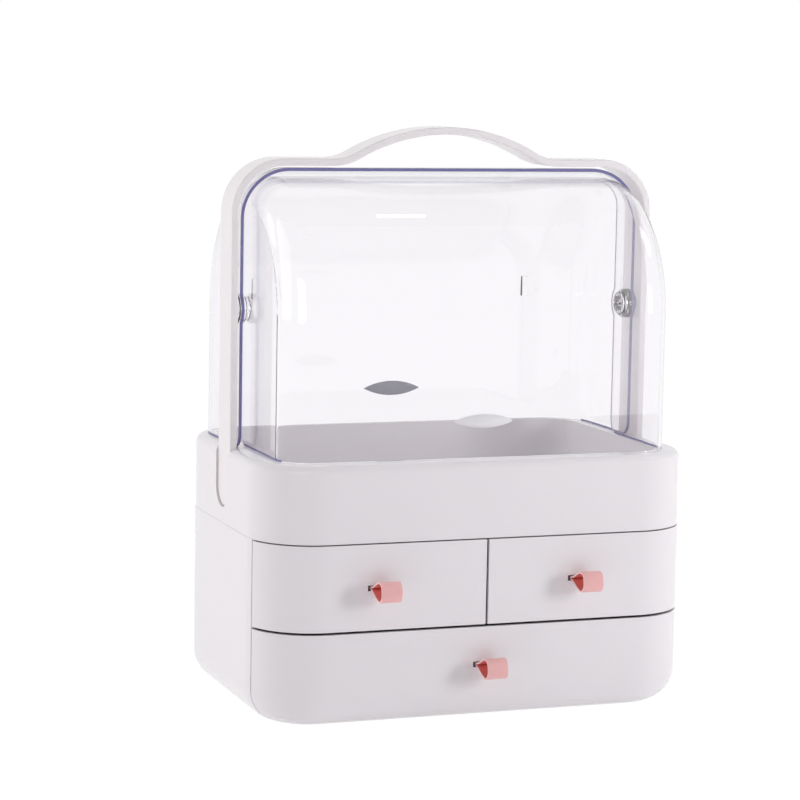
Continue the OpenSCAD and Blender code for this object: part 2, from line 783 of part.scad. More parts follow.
// Everything under the handle's outer contour, or under a contour inset from it
module under_handle(inset) {
    corner_x = handle_x - shoulder_r;
    corner_z = shoulder_z - shoulder_r;
    crown_z = shoulder_z + arch_rise - crown_r;
    touch_x = (crown_r - inset + arc_overlap / 2) * arch_sin;
    touch_z = crown_z + (crown_r - inset + arc_overlap / 2) * arch_cos;
    foot = rim_z - (inset > 0 ? past : 0);
    translate([inset - handle_x, foot]) square([2 * (handle_x - inset), corner_z - foot]);
    translate([-corner_x, foot]) square([2 * corner_x, shoulder_z - inset - foot]);
    for (x = [-1, 1])
        translate([x * corner_x, corner_z]) circle(shoulder_r - inset);
    intersection() {
        translate([0, crown_z]) circle(crown_r - inset + arc_overlap);
        translate([-arch_span, shoulder_z - 2 * band_t])
            square([2 * arch_span, 2 * band_t + arch_rise + past]);
    }
    difference() {
        polygon([[-arch_span, shoulder_z - inset], [-touch_x, touch_z], [touch_x, touch_z],
            [arch_span, shoulder_z - inset], [0, shoulder_z - 2 * band_t]]);
        for (x = [-1, 1])
            translate([x * arch_span, shoulder_z + saddle_r]) circle(saddle_r + inset);
    }
}

module handle() {
    color([0.94, 0.93, 0.95]) difference() {
        union() {
            rotate([90, 0, 0]) linear_extrude(height = band_w, center = true) difference() {
                under_handle(0);
                under_handle(band_t);
            }
            for (x = [-handle_x, handle_x - band_t])
                across(x, x + band_t) tongue_outline(0, rim_z);
        }
        at_handle_screws() cylinder(h = handle_screw_l, r = screw_r);
    }
}

module handle_screws() {
    color([0.7, 0.7, 0.72]) at_handle_screws() screw(handle_screw_l);
}

cabinet_shell();
mid_shelf();
centre_partition();
rubber_feet();
tray();
tray_screws();
lower_drawer_box();
lower_drawer_front();
pull_strap(0, lower_slot_z);  // lower_pull_strap
strap_clip(0, lower_slot_z);  // lower_strap_clip
upper_drawer_box(-pull_left_x);  // left_drawer_box
upper_drawer_front(-pull_left_x);  // left_drawer_front
pull_strap(-pull_left_x, upper_slot_z);  // left_pull_strap
strap_clip(-pull_left_x, upper_slot_z);  // left_strap_clip
mirror([1, 0, 0]) upper_drawer_box(-pull_right_x);  // right_drawer_box
mirror([1, 0, 0]) upper_drawer_front(-pull_right_x);  // right_drawer_front
pull_strap(pull_right_x, upper_slot_z);  // right_pull_strap
strap_clip(pull_right_x, upper_slot_z);  // right_strap_clip
rear_cover();
oval_plate();
front_cover();
cover_grip();
mirror([1, 0, 0]) pivot_pin();  // left_pivot_pin
pivot_pin();  // right_pivot_pin
handle();
handle_screws();
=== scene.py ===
"""Looks of a make-up organizer: white cabinet and tray, clear cover shells, handle and leather pulls.

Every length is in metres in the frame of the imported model: +Z up, front towards -Y, origin on the table.
Most pieces are copies of their CAD nodes with rounded edges. The pins and straps are built here, and the
screws and feet are the CAD's own.
"""
import json
import math

import bmesh
import bpy
from mathutils import Matrix, Vector


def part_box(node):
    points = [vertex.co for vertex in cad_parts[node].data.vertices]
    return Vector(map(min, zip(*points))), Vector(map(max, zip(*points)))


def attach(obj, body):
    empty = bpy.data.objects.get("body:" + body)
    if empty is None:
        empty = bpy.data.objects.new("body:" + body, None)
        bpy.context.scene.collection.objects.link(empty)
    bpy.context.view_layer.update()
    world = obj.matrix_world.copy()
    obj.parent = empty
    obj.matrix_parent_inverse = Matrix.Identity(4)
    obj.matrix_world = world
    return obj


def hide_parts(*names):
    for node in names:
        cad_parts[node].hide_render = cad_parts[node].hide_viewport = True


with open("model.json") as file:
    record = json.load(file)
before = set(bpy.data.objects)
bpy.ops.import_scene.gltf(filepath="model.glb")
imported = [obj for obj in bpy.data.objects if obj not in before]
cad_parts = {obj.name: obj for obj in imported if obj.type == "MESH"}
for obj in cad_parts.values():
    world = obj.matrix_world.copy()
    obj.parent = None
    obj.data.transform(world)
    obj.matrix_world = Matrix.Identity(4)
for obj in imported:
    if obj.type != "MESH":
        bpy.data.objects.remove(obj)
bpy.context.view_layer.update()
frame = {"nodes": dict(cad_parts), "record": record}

MM = 0.001

# ---- camera: the photograph's viewpoint, from its vanishing lines and the known sizes ----

CAMERA_PLACE = Vector((-0.62440, -1.63865, 0.41217))
CAMERA_YAW = math.radians(20.087)        # right of straight back
CAMERA_PITCH = math.radians(7.196)       # below level
CAMERA_ROLL = math.radians(1.052)
CAMERA_LENS = 122.13                     # mm
CAMERA_SENSOR = 36                       # mm
CAMERA_NEAR = 0.05
CAMERA_FAR = 50

# ---- main places, read from the frame ----

REAR_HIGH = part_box("rear_cover")[1]
FRONT_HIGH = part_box("front_cover")[1]
TRAY_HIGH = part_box("tray")[1]
PIN_LOW, PIN_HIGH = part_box("right_pivot_pin")
HANDLE_LOW, HANDLE_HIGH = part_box("handle")
PIVOT_Z = (PIN_LOW.z + PIN_HIGH.z) / 2
RIM_Z = TRAY_HIGH.z
COVER_T = 2 * MM

# ---- rounded edges ----

SHARP_ANGLE = 32             # degrees between two faces, beyond which their edge is rounded
CASE_ROUND = 0.4 * MM
FRONT_ROUND = 0.5 * MM
INNER_ROUND = 0.3 * MM       # drawer boxes, shelf, partition and clips
HANDLE_ROUND = 1.1 * MM
GRIP_ROUND = 0.2 * MM
SHELL_ROUND = 0.3 * MM
PIN_ROUND = 0.15 * MM
PIN_SHARP_ANGLE = 60

# ---- zones of the CAD's faces and edges that get a look of their own, painted shade among them ----

# zone of painted shade inside a strap's slot:
SLOT_HALF_H = 2.4 * MM       # half height of the zone that holds a strap's slot
SLOT_SIDE = 2 * MM           # width of that zone beside the strap
INSIDE_TILT = 0.5            # the inside of a slot or gap turns less than this share to its mouth
# zone of painted shade in the gaps round the handle's tongues:
GAP_INSET = 6 * MM           # reach of a tongue's gap inwards from the handle's side
GAP_MOUTH = 1.2 * MM         # depth from the tray's side in which the gap stays white
GAP_SIDE = 1.2 * MM          # width of the gap's zone in front of and behind the tongue
GAP_BELOW = 2 * MM           # depth of the gap's zone under the tongue
GAP_TOP = 3 * MM             # depth below the tray's rim at which the gap's zone begins
SCREW_ZONE_D = 2 * MM        # half depth of the strip that holds the handle's screw holes
SCREW_ZONE_Z = 2 * MM        # start of that strip above the handle's lower ends
PLATE_TILT = 0.9             # the plate's face turns more than this share to the front
PLATE_RIM_W = 0.7 * MM
PLATE_SINK = 0.15 * MM       # depth of the plate's face inside its rim
EAR_REACH = 14 * MM          # half depth of the zone in which the shells' free edges lie
FOOT_ZONE = 12 * MM          # height above the rim of the shells' rounded free corners
FOOT_LINE = 1.0 * MM         # height of the tinted line along the shells' feet
BORE_ZONE = 7.6 * MM         # radius that holds a shell's pivot bore
BOSS_ZONE = 10.4 * MM        # radius that holds the rear shell's pivot boss
WALL_SLACK = 0.1 * MM        # by which a side wall's zone is thicker than the wall
EDGE_TILT = 0.6              # a free edge turns more than this share to the front or back
WALL_TILT = 0.3              # a shell's side wall turns more than this share to the side

# ---- pins ----

PIN_SHAFT_R = 7 * MM
PIN_FLANGE_R = 9.5 * MM
PIN_FLANGE_CUT = 0.4 * MM    # slanted edge of the flange
PIN_HAIRLINE = 0.02 * MM     # gap between the shaft and the head, at the front shell's outer face
PIN_SHAFT_END = 0.2 * MM     # past the front shell's inner face
PIN_LIP_START = 0.25 * MM    # past the front shell's inner face
PIN_LIP_R = 7.9 * MM
PIN_LIP_T = 0.45 * MM
PIN_DOME_H = 0.9 * MM
PIN_DOME_SPAN = 66           # degrees from the lip to the bore
PIN_DOME_STEPS = 6
PIN_BORE_R = 3.2 * MM
PIN_BORE_LEAD = 0.4 * MM     # depth over which the dome's end narrows to the bore
PIN_BORE_FLOOR = 1 * MM      # thickness left behind the bore
PIN_SLIT = 1.1 * MM
PIN_SIDES = 48

# ---- straps ----

STRAP_T = 1.2 * MM
STRAP_ROUND = 0.38 * MM
STRAP_ROUND_STEPS = 3
STRAP_DEPTH = 6.4 * MM       # from the front's face back to the strap's ends
STRAP_CURVE_STEPS = 5        # stretches between two points of the line below
# The strap's middle line in mm, as (forward of the front's face, above the slot's middle): it goes out
# along the upper layer and comes back along the lower one.
STRAP_LINE = [(-6.4, 0.62), (-3.0, 0.62), (0.4, 0.64), (4.2, 1.6), (8.4, 3.6), (12.2, 5.4), (15.8, 6.0),
              (19.0, 4.8), (20.5, 1.6), (20.5, -2.0), (18.6, -4.8), (15.2, -5.7), (11.2, -4.8),
              (7.2, -3.1), (3.6, -1.5), (0.4, -0.64), (-3.0, -0.62), (-6.4, -0.62)]

# ---- grain of the materials: cells of noise in a metre, and depth of relief ----

MOTTLE_CELLS = 22
GLOSS_CELLS = 60
PEEL_CELLS = 900
PEEL_DEPTH = 0.4 * MM
PEEL_STRENGTH = 0.006
SATIN_ROUGH = (0.20, 0.22)
FINE_MOTTLE_CELLS = 180
FINE_RELIEF_DEPTH = 0.2 * MM
MOTTLE_SHADE = 0.93          # the darker colour of a mottle, as a share of the paler one
SLANT_START = 0.6            # how far a clear face has to turn from the eye before it darkens

# ---- floor and room ----

FLOOR_SIZE = 12.0
FLOOR_DROP = 0.2 * MM        # of the floor below the feet
FLOOR_TONE = (0.93, 0.92, 0.93)
FLOOR_GLOW = 1.045           # strength of the white that the camera sees there
FLOOR_SHARE = 0.92           # of that white; the rest shows the floor's own shade
FLOOR_BOUNCE_GLOW = 0.15          # light of its own that the floor throws up at the object
FILL_TONE = (0.97, 0.96, 1.0)
FILL_LEVEL = 0.39
FILL_OVERHEAD = 1.02
FILL_HEIGHTS = (0.1, 0.9)    # upward share of a direction, from FILL_LEVEL to FILL_OVERHEAD
FILL_FRONT_SHARE = 0.35      # the room is dimmer towards the camera
FILL_DEPTHS = (-0.8, 0.3)    # backward share of a direction, from FILL_FRONT_SHARE to 1
WALL_TONE = (1.0, 0.985, 0.95)

# ---- small mesh helpers ----

WELD_DISTANCE = 0.003 * MM
FLAT_ANGLE = 0.1             # degrees between faces that are taken for one
CUT_TOLERANCE = 1e-7
FACE_WEIGHT = 100            # large faces decide the shading at their edges


def add_object(name, data):
    obj = bpy.data.objects.new(name, data)
    bpy.context.scene.collection.objects.link(obj)
    return obj


def finish_piece(obj, body, slot, *nodes):
    """Puts a piece on its body and hides the CAD nodes that it stands for."""
    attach(obj, body)
    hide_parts(*nodes)


def welded_copy(node):
    """A bmesh of a CAD node with its split vertices joined and its flat faces made whole."""
    bm = bmesh.new()
    bm.from_mesh(frame["nodes"][node].data)
    bmesh.ops.remove_doubles(bm, verts=bm.verts, dist=WELD_DISTANCE)
    bmesh.ops.dissolve_limit(bm, angle_limit=math.radians(FLAT_ANGLE), verts=bm.verts, edges=bm.edges,
                             delimit={"NORMAL"})
    bm.normal_update()
    return bm


def sharp_edges(bm, angle=SHARP_ANGLE):
    return [e for e in bm.edges if len(e.link_faces) == 2 and e.calc_face_angle(0) > math.radians(angle)]


def bevel(bm, edges, width, segments=2):
    bmesh.ops.bevel(bm, geom=edges, offset=width, offset_type="OFFSET", segments=segments, profile=0.5,
                    affect="EDGES", clamp_overlap=True, loop_slide=False)
    bm.normal_update()


def cut_level(bm, z, side=1, clear=False):
    """Cuts a mesh at the height z and, with clear, drops what is above it (side = 1) or below it (-1)."""
    bmesh.ops.bisect_plane(bm, geom=bm.verts[:] + bm.edges[:] + bm.faces[:], dist=CUT_TOLERANCE,
                           plane_co=(0, 0, z), plane_no=(0, 0, side), clear_outer=clear)


def join_rings(bm, near, far):
    """Band of faces between two rings of corners, either of which can be a single point."""
    count = max(len(near), len(far))
    faces = []
    for k in range(count):
        j = (k + 1) % count
        if len(near) == 1:
            corners = (near[0], far[j], far[k])
        elif len(far) == 1:
            corners = (near[k], near[j], far[0])
        else:
            corners = (near[k], near[j], far[j], far[k])
        faces.append(bm.faces.new(corners))
    return faces


def middle(edge):
    return (edge.verts[0].co + edge.verts[1].co) / 2


def to_object(bm, name, materials, weighted=True):
    """Turns a bmesh into a smooth object, whose shading follows its large faces where it is weighted."""
    mesh = bpy.data.meshes.new(name)
    bm.to_mesh(mesh)
    bm.free()
    for material in materials:
        mesh.materials.append(material)
    mesh.shade_smooth()
    obj = add_object(name, mesh)
    if weighted:
        normals = obj.modifiers.new("even_normals", "WEIGHTED_NORMAL")
        normals.keep_sharp = True
        normals.weight = FACE_WEIGHT
    return obj


# ---- shader helpers ----

def new_material(name):
    mat = bpy.data.materials.new(name)
    mat.use_nodes = True
    mat.node_tree.nodes.clear()
    return mat, mat.node_tree.nodes, mat.node_tree.links


def add_noise(nodes, links, coords, scale, detail=2.0):
    noise = nodes.new("ShaderNodeTexNoise")
    noise.inputs["Scale"].default_value = scale
    noise.inputs["Detail"].default_value = detail
    links.new(coords.outputs["Object"], noise.inputs["Vector"])
    return noise.outputs["Fac"]


def between(nodes, links, factor, low, high, start=0.3, end=0.7):
    """Maps a factor from start to end onto the range low to high."""
    span = nodes.new("ShaderNodeMapRange")
    span.inputs["From Min"].default_value = start
    span.inputs["From Max"].default_value = end
    span.inputs["To Min"].default_value = low
    span.inputs["To Max"].default_value = high
    links.new(factor, span.inputs["Value"])
    return span.outputs["Result"]


def combine(nodes, links, operation, first, second):
    """Result of a Math node on two sockets."""
    node = nodes.new("ShaderNodeMath")
    node.operation = operation
    links.new(first, node.inputs[0])
    links.new(second, node.inputs[1])
    return node.outputs["Value"]


def blend_colours(nodes, links, factor, a, b):
    mix = nodes.new("ShaderNodeMix")
    mix.data_type = "RGBA"
    links.new(factor, mix.inputs["Factor"])
    mix.inputs["A"].default_value = (*a, 1)
    mix.inputs["B"].default_value = (*b, 1)
    return mix.outputs["Result"]


def blend_shaders(nodes, links, factor, a, b):
    mix = nodes.new("ShaderNodeMixShader")
    links.new(factor, mix.inputs["Fac"])
    links.new(a, mix.inputs[1])
    links.new(b, mix.inputs[2])
    return mix.outputs["Shader"]


def add_relief(nodes, links, height, strength, depth, bsdf):
    """Makes a finish rise and fall by a height from 0 to 1."""
    bump = nodes.new("ShaderNodeBump")
    bump.inputs["Strength"].default_value = strength
    bump.inputs["Distance"].default_value = depth
    links.new(height, bump.inputs["Height"])
    links.new(bump.outputs["Normal"], bsdf.inputs["Normal"])


# ---- materials ----

def moulded_plastic(name, pale, dark):
    """Satin plastic: a faint mottle in its colour, a fine orange peel and an uneven gloss."""
    mat, nodes, links = new_material(name)
    out = nodes.new("ShaderNodeOutputMaterial")
    bsdf = nodes.new("ShaderNodeBsdfPrincipled")
    coords = nodes.new("ShaderNodeTexCoord")
    mottle = add_noise(nodes, links, coords, MOTTLE_CELLS)
    links.new(blend_colours(nodes, links, mottle, pale, dark), bsdf.inputs["Base Color"])
    uneven = add_noise(nodes, links, coords, GLOSS_CELLS, detail=3)
    links.new(between(nodes, links, uneven, *SATIN_ROUGH), bsdf.inputs["Roughness"])
    peel = add_noise(nodes, links, coords, PEEL_CELLS)
    add_relief(nodes, links, peel, PEEL_STRENGTH, PEEL_DEPTH, bsdf)
    links.new(bsdf.outputs["BSDF"], out.inputs["Surface"])
    return mat


def clear_plastic(name, tint, slant_shade_tint, ior=1.45):
    """Clear moulded plastic, darker where it is seen at a slant: painted shade that stands in for the dark
    refractions at its curves and silhouettes.

    Light from lamps and from dull surfaces goes straight through it.
    """
    mat, nodes, links = new_material(name)
    out = nodes.new("ShaderNodeOutputMaterial")
    glass = nodes.new("ShaderNodeBsdfPrincipled")
    slant = nodes.new("ShaderNodeLayerWeight")
    slant.inputs["Blend"].default_value = 0.5
    grazing = between(nodes, links, slant.outputs["Facing"], 0, 1, SLANT_START, 1.0)
    links.new(blend_colours(nodes, links, grazing, tint, slant_shade_tint), glass.inputs["Base Color"])
    glass.inputs["Transmission Weight"].default_value = 1
    glass.inputs["IOR"].default_value = ior
    glass.inputs["Roughness"].default_value = 0
    open_way = nodes.new("ShaderNodeBsdfTransparent")
    open_way.inputs["Color"].default_value = (1, 1, 1, 1)
    path = nodes.new("ShaderNodeLightPath")
    either = combine(nodes, links, "MAXIMUM", path.outputs["Is Shadow Ray"], path.outputs["Is Diffuse Ray"])
    mix = blend_shaders(nodes, links, either, glass.outputs["BSDF"], open_way.outputs["BSDF"])
    links.new(mix, out.inputs["Surface"])
    return mat


def surface(name, colour, rough, metallic=0.0, mottle_cells=FINE_MOTTLE_CELLS, relief_cells=0, relief=0.0):
    """Opaque finish with a mottled colour and, where relief_cells is given, a fine relief."""
    mat, nodes, links = new_material(name)
    out = nodes.new("ShaderNodeOutputMaterial")
    bsdf = nodes.new("ShaderNodeBsdfPrincipled")
    coords = nodes.new("ShaderNodeTexCoord")
    mottle = add_noise(nodes, links, coords, mottle_cells)
    dark = tuple(MOTTLE_SHADE * c for c in colour)
    links.new(blend_colours(nodes, links, mottle, colour, dark), bsdf.inputs["Base Color"])
    bsdf.inputs["Roughness"].default_value = rough
    bsdf.inputs["Metallic"].default_value = metallic
    if relief_cells:
        grain = add_noise(nodes, links, coords, relief_cells, detail=4)
        add_relief(nodes, links, grain, relief, FINE_RELIEF_DEPTH, bsdf)
    links.new(bsdf.outputs["BSDF"], out.inputs["Surface"])
    return mat


def leather(name, colour, rough):
    """Fine-grained leather."""
    return surface(name, colour, rough, mottle_cells=260, relief_cells=1400, relief=0.25)


white_abs = moulded_plastic("white_abs", pale=(0.80, 0.775, 0.795), dark=(0.795, 0.77, 0.79))
inner_abs = moulded_plastic("inner_abs", pale=(0.74, 0.71, 0.74), dark=(0.72, 0.69, 0.72))
handle_abs = moulded_plastic("handle_abs", pale=(0.82, 0.785, 0.795), dark=(0.815, 0.78, 0.79))
# painted shade: a darker tone for the shade in the gaps round the handle's tongues
tongue_gap_painted_shade = moulded_plastic("tongue_gap_painted_shade", pale=(0.78, 0.73, 0.72), dark=(0.77, 0.72, 0.71))
# strap clips: real hidden parts, whose near-black is painted shade, so that the slots they show through look
# dark
dark_clip_painted_shade = moulded_plastic("dark_clip_painted_shade", pale=(0.05, 0.04, 0.045), dark=(0.045, 0.036, 0.04))
# painted shade: a near-black tone for the shade inside the straps' slots
painted_slot_shade = moulded_plastic("painted_slot_shade", pale=(0.16, 0.13, 0.13), dark=(0.14, 0.115, 0.115))
clear_shell = clear_plastic("clear_shell", tint=(0.965, 0.955, 0.97), slant_shade_tint=(0.64, 0.64, 0.71))
clear_pin = clear_plastic("clear_pin", tint=(0.97, 0.965, 0.98), slant_shade_tint=(0.84, 0.83, 0.90), ior=1.2)
blue_edge = surface("blue_edge", (0.17, 0.16, 0.36), rough=0.12)
lilac_edge = surface("lilac_edge", (0.62, 0.60, 0.66), rough=0.15)
frosted = surface("frosted_grip", (0.80, 0.78, 0.81), rough=0.3)
silver = surface("silver_plate", (0.62, 0.60, 0.63), rough=0.32, metallic=0.35, relief_cells=700, relief=0.1)
silver_rim = surface("silver_rim", (0.30, 0.30, 0.34), rough=0.25, metallic=0.8)
pink_leather = leather("pink_leather", (0.84, 0.46, 0.45), rough=0.5)
# painted shade: a deeper, darker red on the strap's inner face for the shade and red bounce light inside the
# loop
strap_inner_painted_shade = leather("strap_inner_painted_shade", (0.78, 0.20, 0.18), rough=0.6)
cut_edge = surface("cut_edge", (0.95, 0.66, 0.65), rough=0.7, mottle_cells=400, relief_cells=1800,
                   relief=0.3)
screw_steel = surface("screw_steel", (0.6, 0.6, 0.62), rough=0.3, metallic=1.0)
foot_rubber = surface("foot_rubber", (0.5, 0.5, 0.52), rough=0.7, relief_cells=900, relief=0.2)

# ---- rigid pieces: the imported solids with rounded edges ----

BODY_OF = {n: b for b, ns in frame["record"]["behaviour"]["bodies"].items() for n in ns}
SLOT_OF = {p["node"]: p["material_slot"] for p in frame["record"]["subparts"]}


def finish_look(bm, node, materials, weighted=True):
    """Makes a bmesh the piece that stands for a CAD node."""
    obj = to_object(bm, node + "_look", materials, weighted)
    finish_piece(obj, BODY_OF[node], SLOT_OF[node], node)
    return obj


def painted(node, material):
    """Leaves a CAD node as it is, in a better material."""
    frame["nodes"][node].data.materials.clear()
    frame["nodes"][node].data.materials.append(material)


def dressed(node, material, width):
    """A CAD node's shape in one material, its sharp edges rounded off."""
    bm = welded_copy(node)
    bevel(bm, sharp_edges(bm), width)
    finish_look(bm, node, [material])


def dressed_front(node, strap):
    """A drawer front, with the inside of the slot that its strap goes through in painted shade."""
    bm = welded_copy(node)
    bevel(bm, sharp_edges(bm), FRONT_ROUND, segments=3)
    low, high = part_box(strap)
    slot_x = (low.x + high.x) / 2
    slot_z = (low.z + high.z) / 2
    slot_half_w = (high.x - low.x) / 2 + SLOT_SIDE
    for face in bm.faces:
        centre = face.calc_center_median()
        in_slot = abs(centre.x - slot_x) < slot_half_w and abs(centre.z - slot_z) < SLOT_HALF_H
        face.material_index = int(in_slot and abs(face.normal.y) < INSIDE_TILT)
    finish_look(bm, node, [white_abs, painted_slot_shade])


def in_tongue_gap(point):
    """Whether a point of the tray lies in the zone of painted shade in the gap round one of the handle's
    tongues.
    """
    in_depth = HANDLE_HIGH.x - GAP_INSET < abs(point.x) < TRAY_HIGH.x - GAP_MOUTH
    in_width = abs(point.y) < HANDLE_HIGH.y + GAP_SIDE
    in_height = HANDLE_LOW.z - GAP_BELOW < point.z < RIM_Z - GAP_TOP
    return in_depth and in_width and in_height


def dressed_tray():
    """The tray, with painted shade: a darker tone on the walls of the gaps round the handle's tongues."""
    bm = welded_copy("tray")
    bevel(bm, sharp_edges(bm), CASE_ROUND)
    for face in bm.faces:
        in_gap = in_tongue_gap(face.calc_center_median())
        face.material_index = int(in_gap and abs(face.normal.x) < INSIDE_TILT)
    finish_look(bm, "tray", [white_abs, tongue_gap_painted_shade])


def dressed_handle():
    """The handle with its band's edges well rounded and its screw holes left sharp."""
    bm = welded_copy("handle")
    rims = [e for e in sharp_edges(bm)
            if abs(middle(e).y) > SCREW_ZONE_D or middle(e).z < HANDLE_LOW.z + SCREW_ZONE_Z]
    bevel(bm, rims, HANDLE_ROUND, segments=4)
    finish_look(bm, "handle", [handle_abs])


def dressed_plate():
    """The bare oval plate, its face sunk inside a darker rim."""
    bm = welded_copy("oval_plate")
    halves = [f for f in bm.faces if f.normal.y < -PLATE_TILT]
    front = bmesh.ops.dissolve_faces(bm, faces=halves)["region"]
    bmesh.ops.inset_region(bm, faces=front, thickness=PLATE_RIM_W, depth=0)
    bmesh.ops.inset_region(bm, faces=front, thickness=PLATE_SINK, depth=-PLATE_SINK)
    bm.normal_update()
    for face in bm.faces:
        face.material_index = int(face not in front)
    plate = finish_look(bm, "oval_plate", [silver, silver_rim], weighted=False)
    plate.data.shade_flat()


dressed("cabinet_shell", white_abs, CASE_ROUND)
dressed_tray()
for name in ("lower", "left", "right"):
    dressed_front(name + "_drawer_front", name + "_pull_strap")
for name in ("mid_shelf", "centre_partition", "lower_drawer_box", "left_drawer_box", "right_drawer_box"):
    dressed(name, inner_abs, INNER_ROUND)
# the clips' near-black is painted shade for the slots
for name in ("lower_strap_clip", "left_strap_clip", "right_strap_clip"):
    dressed(name, dark_clip_painted_shade, INNER_ROUND)
dressed_handle()
dressed("cover_grip", frosted, GRIP_ROUND)
dressed_plate()
painted("tray_screws", screw_steel)
painted("handle_screws", screw_steel)
painted("rubber_feet", foot_rubber)


# ---- clear shells ----

CLEAR_WALL, FREE_EDGE, SIDE_FOOT = range(3)


def is_free_edge(face, foot_z, inner_x, centre_zone):
    """Whether a face lies on a shell's free edge beside the pivots, not on its walls, bore or boss."""
    centre = face.calc_center_median()
    from_pivot = math.hypot(centre.y, centre.z - PIVOT_Z)
    if abs(centre.y) > EAR_REACH or from_pivot < centre_zone:
        return False
    if abs(face.normal.y) > EDGE_TILT:
        return True
    near_foot = centre.z < foot_z + FOOT_ZONE and abs(centre.x) > inner_x
    near_ear = from_pivot < EAR_REACH and abs(centre.x) > inner_x
    return (near_foot or near_ear) and abs(face.normal.x) < WALL_TILT


def dressed_shell(node, half_w, centre_zone, edge_material):
    """A clear shell: its free edge in one material, its feet along the sides in another."""
    bm = welded_copy(node)
    foot_z = min(v.co.z for v in bm.verts if abs(v.co.y) < EAR_REACH)
    bevel(bm, sharp_edges(bm), SHELL_ROUND)
    cut_level(bm, foot_z + FOOT_LINE)
    bm.normal_update()
    inner_x = half_w - COVER_T - WALL_SLACK
    for face in bm.faces:
        centre = face.calc_center_median()
        if is_free_edge(face, foot_z, inner_x, centre_zone):
            face.material_index = FREE_EDGE
        elif centre.z < foot_z + FOOT_LINE and abs(centre.x) > inner_x:
            face.material_index = SIDE_FOOT
        else:
            face.material_index = CLEAR_WALL
    finish_look(bm, node, [clear_shell, edge_material, blue_edge])


dressed_shell("rear_cover", REAR_HIGH.x, BOSS_ZONE, blue_edge)
dressed_shell("front_cover", FRONT_HIGH.x, BORE_ZONE, lilac_edge)


# ---- pivot pins: a flanged shaft and a domed head split by a level slit ----

def turned(bm, profile):
    """Closed solid turned about the X axis through the pivots; profile holds (x, radius) pairs."""
    angles = [2 * math.pi * k / PIN_SIDES for k in range(PIN_SIDES)]
    rings = []
    for x, r in profile:
        if r == 0:
            rings.append([bm.verts.new((x, 0, PIVOT_Z))])
        else:
            rings.append([bm.verts.new((x, r * math.cos(a), PIVOT_Z + r * math.sin(a))) for a in angles])
    for near, far in zip(rings, rings[1:]):
        join_rings(bm, near, far)


def shaft_profile(end):
    """Flange outside the rear shell and shaft through both shells, up to end."""
    outer = PIN_HIGH.x
    flange_in = REAR_HIGH.x
    return [(outer, 0), (outer, PIN_FLANGE_R - PIN_FLANGE_CUT), (outer - PIN_FLANGE_CUT, PIN_FLANGE_R),
            (flange_in, PIN_FLANGE_R), (flange_in, PIN_SHAFT_R), (end, PIN_SHAFT_R), (end, 0)]


def head_profile(start, inner_face):
    """Head from start past the front shell's inner face: lip, dome and bore."""
    lip_end = inner_face - PIN_LIP_START - PIN_LIP_T
    profile = [(start, 0), (start, PIN_SHAFT_R), (inner_face - PIN_SHAFT_END, PIN_SHAFT_R),
               (inner_face - PIN_LIP_START, PIN_LIP_R), (lip_end, PIN_LIP_R)]
    for k in range(1, PIN_DOME_STEPS + 1):
        a = math.radians(PIN_DOME_SPAN * k / PIN_DOME_STEPS)
        profile.append((lip_end - PIN_DOME_H * math.sin(a), PIN_LIP_R * math.cos(a)))
    rim = profile[-1][0]
    floor_x = start - PIN_BORE_FLOOR
    profile += [(rim + PIN_BORE_LEAD, PIN_BORE_R), (floor_x, PIN_BORE_R), (floor_x, 0)]
    return profile


def add_head_half(bm, up):
    """Adds the half of the head above the slit (up = 1) or below it (up = -1)."""
    half = bmesh.new()
    turned(half, head_profile(FRONT_HIGH.x - PIN_HAIRLINE, FRONT_HIGH.x - COVER_T))
    cut_level(half, PIVOT_Z + up * PIN_SLIT / 2, side=-up, clear=True)
    bmesh.ops.holes_fill(half, edges=[e for e in half.edges if e.is_boundary], sides=0)
    part = bpy.data.meshes.new("half")
    half.to_mesh(part)
    half.free()
    bm.from_mesh(part)
    bpy.data.meshes.remove(part)


def pin_piece(node, side):
    """A whole pin, on the right (side = 1) or on the left (side = -1)."""
    bm = bmesh.new()
    turned(bm, shaft_profile(FRONT_HIGH.x))
    add_head_half(bm, 1)
    add_head_half(bm, -1)
    bmesh.ops.scale(bm, vec=(side, 1, 1), verts=bm.verts)
    bmesh.ops.recalc_face_normals(bm, faces=bm.faces)
    bevel(bm, sharp_edges(bm, PIN_SHARP_ANGLE), PIN_ROUND)
    finish_look(bm, node, [clear_pin])


pin_piece("left_pivot_pin", -1)
pin_piece("right_pivot_pin", 1)


# ---- leather pulls: one strap folded into a loop, with its two ends through the slot ----

OUTER_FACE, CUT_SIDE, INNER_FACE = range(3)


def curve_value(before, start, end, after, t):
    """Catmull-Rom value at the share t of the way from start to end."""
    return 0.5 * (2 * start + (end - before) * t + (2 * before - 5 * start + 4 * end - after) * t * t
                  + (3 * start - before - 3 * end + after) * t ** 3)


def smooth_line(points):
    """Smooth curve through the points, as a finer list of points."""
    ends = [points[0]] + points + [points[-1]]
    line = []
    for four in zip(ends, ends[1:], ends[2:], ends[3:]):
        for k in range(STRAP_CURVE_STEPS):
            line.append(tuple(curve_value(*values, k / STRAP_CURVE_STEPS) for values in zip(*four)))
    line.append(points[-1])
    return line


def strap_section(width):
    """Outline of the strap across its length: (sideways, through its thickness), with round corners."""
    flat_x = width / 2 - STRAP_ROUND
    flat_t = STRAP_T / 2 - STRAP_ROUND
    outline = []
    for k, (side_x, side_t) in enumerate(((1, 1), (-1, 1), (-1, -1), (1, -1))):
        for step in range(STRAP_ROUND_STEPS + 1):
            a = math.radians(90 * k + 90 * step / STRAP_ROUND_STEPS)
            outline.append((side_x * flat_x + STRAP_ROUND * math.cos(a),
                            side_t * flat_t + STRAP_ROUND * math.sin(a)))
    return outline


